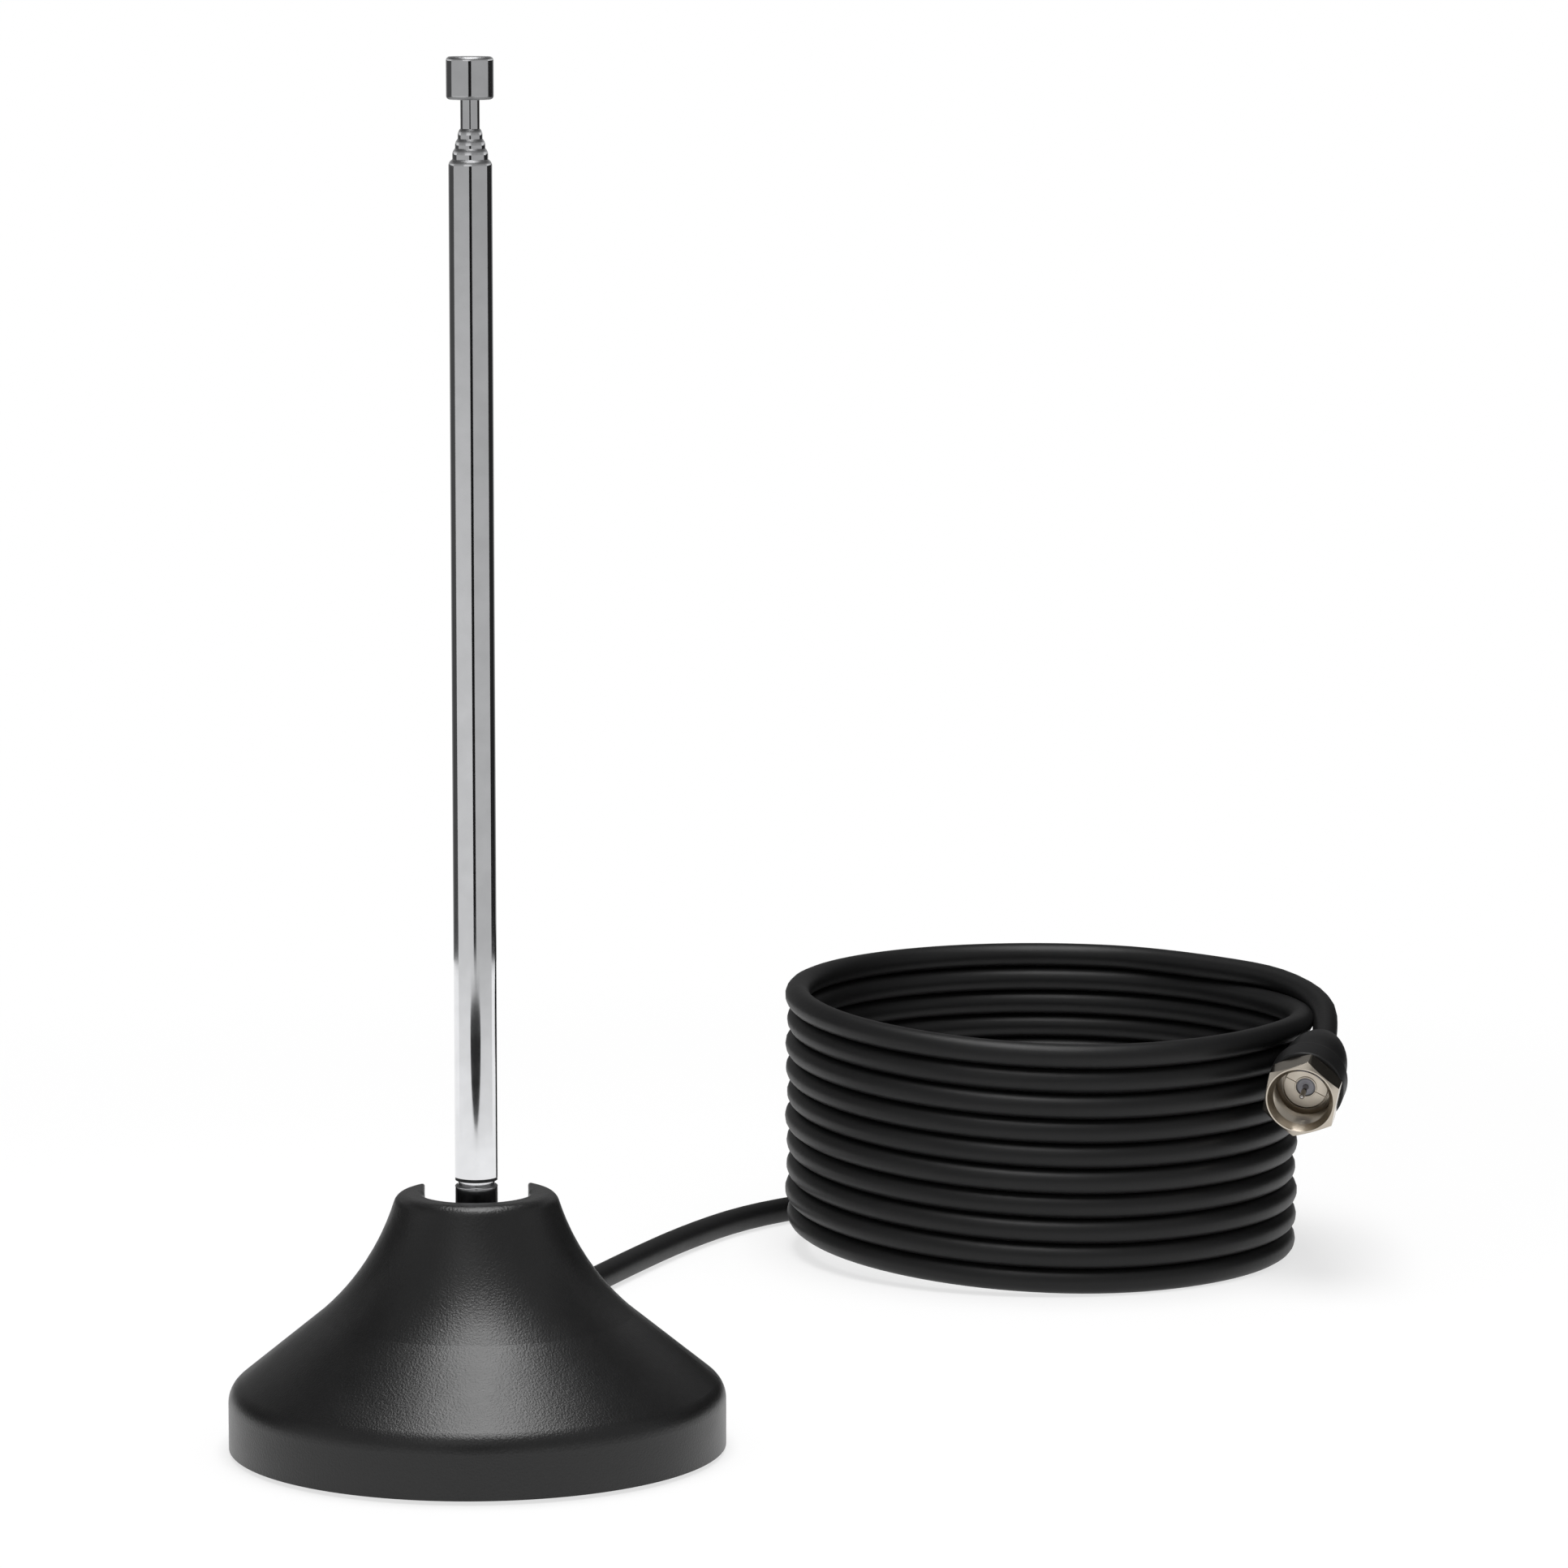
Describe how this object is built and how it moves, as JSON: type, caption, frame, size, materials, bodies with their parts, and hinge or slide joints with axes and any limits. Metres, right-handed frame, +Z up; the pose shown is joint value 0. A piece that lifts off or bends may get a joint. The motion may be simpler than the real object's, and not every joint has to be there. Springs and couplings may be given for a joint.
{
  "type": "indoor tv antenna",
  "caption": "Indoor television aerial: telescopic chrome whip hinged in the slotted collar of a weighted bell-shaped foot, with a coiled coaxial cord ending in an F connector.",
  "frame": {"origin": "middle of the foot, on the table", "axes": "+Z up the standing mast, -Y the front that the picture shows, +Y the back, where the mast folds down and the cord leaves"},
  "size_m": [0.1743, 0.2154, 0.195],
  "materials": {
    "shell_plastic": "fine moulded texture, satin",
    "cover_plastic": "moulded, matt",
    "pad_rubber": "foam rubber, matt",
    "ballast_iron": "raw casting",
    "screw_steel": "zinc plated",
    "hinge_steel": "pressed sheet, nickel plated",
    "mast_chrome": "bright plated",
    "contact_brass": "bare brass",
    "grommet_rubber": "moulded, matt",
    "cord_vinyl": "extruded vinyl, half matt",
    "connector_nickel": "nickel plated",
    "insulator_plastic": "foamed polyethylene",
    "boot_vinyl": "moulded vinyl, half matt"
  },
  "bodies": {
    "base": {"base_shell": "shell_plastic", "base_plate": "cover_plastic", "foot_pad": "pad_rubber", "ballast_ring": "ballast_iron", "cover_screws": "screw_steel", "hinge_yoke": "hinge_steel", "pivot_screw": "screw_steel", "pivot_nut": "screw_steel", "friction_washer_left": "hinge_steel", "friction_washer_right": "hinge_steel", "yoke_screw": "screw_steel", "terminal_lug": "contact_brass", "cord_grommet": "grommet_rubber", "cord_inner_end": "cord_vinyl", "feed_wire": "contact_brass", "cord_lead": "cord_vinyl", "cord_coil": "cord_vinyl", "cord_tail": "cord_vinyl", "connector_body": "connector_nickel", "connector_insulator": "insulator_plastic", "connector_pin": "contact_brass", "connector_boot": "boot_vinyl"},
    "mast": {"knuckle": "mast_chrome", "mast_tube_1": "mast_chrome"},
    "section_2": {"mast_tube_2": "mast_chrome", "tube_foot_2": "contact_brass"},
    "section_3": {"mast_tube_3": "mast_chrome", "tube_foot_3": "contact_brass"},
    "section_4": {"mast_tube_4": "mast_chrome", "tube_foot_4": "contact_brass"},
    "tip": {"tip_rod": "mast_chrome", "rod_foot": "contact_brass", "tip_knob": "mast_chrome"},
    "nut": {"connector_nut": "connector_nickel"}
  },
  "joints": [
    {"name": "mast_tilt", "type": "hinge", "parent": "base", "child": "mast", "pos_m": [0, 0, 0.0315], "axis": [-1, 0, 0], "range_deg": [0, 90]},
    {"name": "section_2_slide", "type": "slide", "parent": "mast", "child": "section_2", "axis": [0, 0, 1], "range_m": [0, 0.1274]},
    {"name": "section_3_slide", "type": "slide", "parent": "section_2", "child": "section_3", "axis": [0, 0, 1], "range_m": [0, 0.1188]},
    {"name": "section_4_slide", "type": "slide", "parent": "section_3", "child": "section_4", "axis": [0, 0, 1], "range_m": [0, 0.1101]},
    {"name": "tip_slide", "type": "slide", "parent": "section_4", "child": "tip", "axis": [0, 0, 1], "range_m": [0, 0.1014]},
    {"name": "nut_spin", "type": "hinge", "parent": "base", "child": "nut", "pos_m": [0.1286, 0.102, 0.0302], "axis": [-0.2696, -0.9403, -0.2079], "continuous": true}
  ]
}
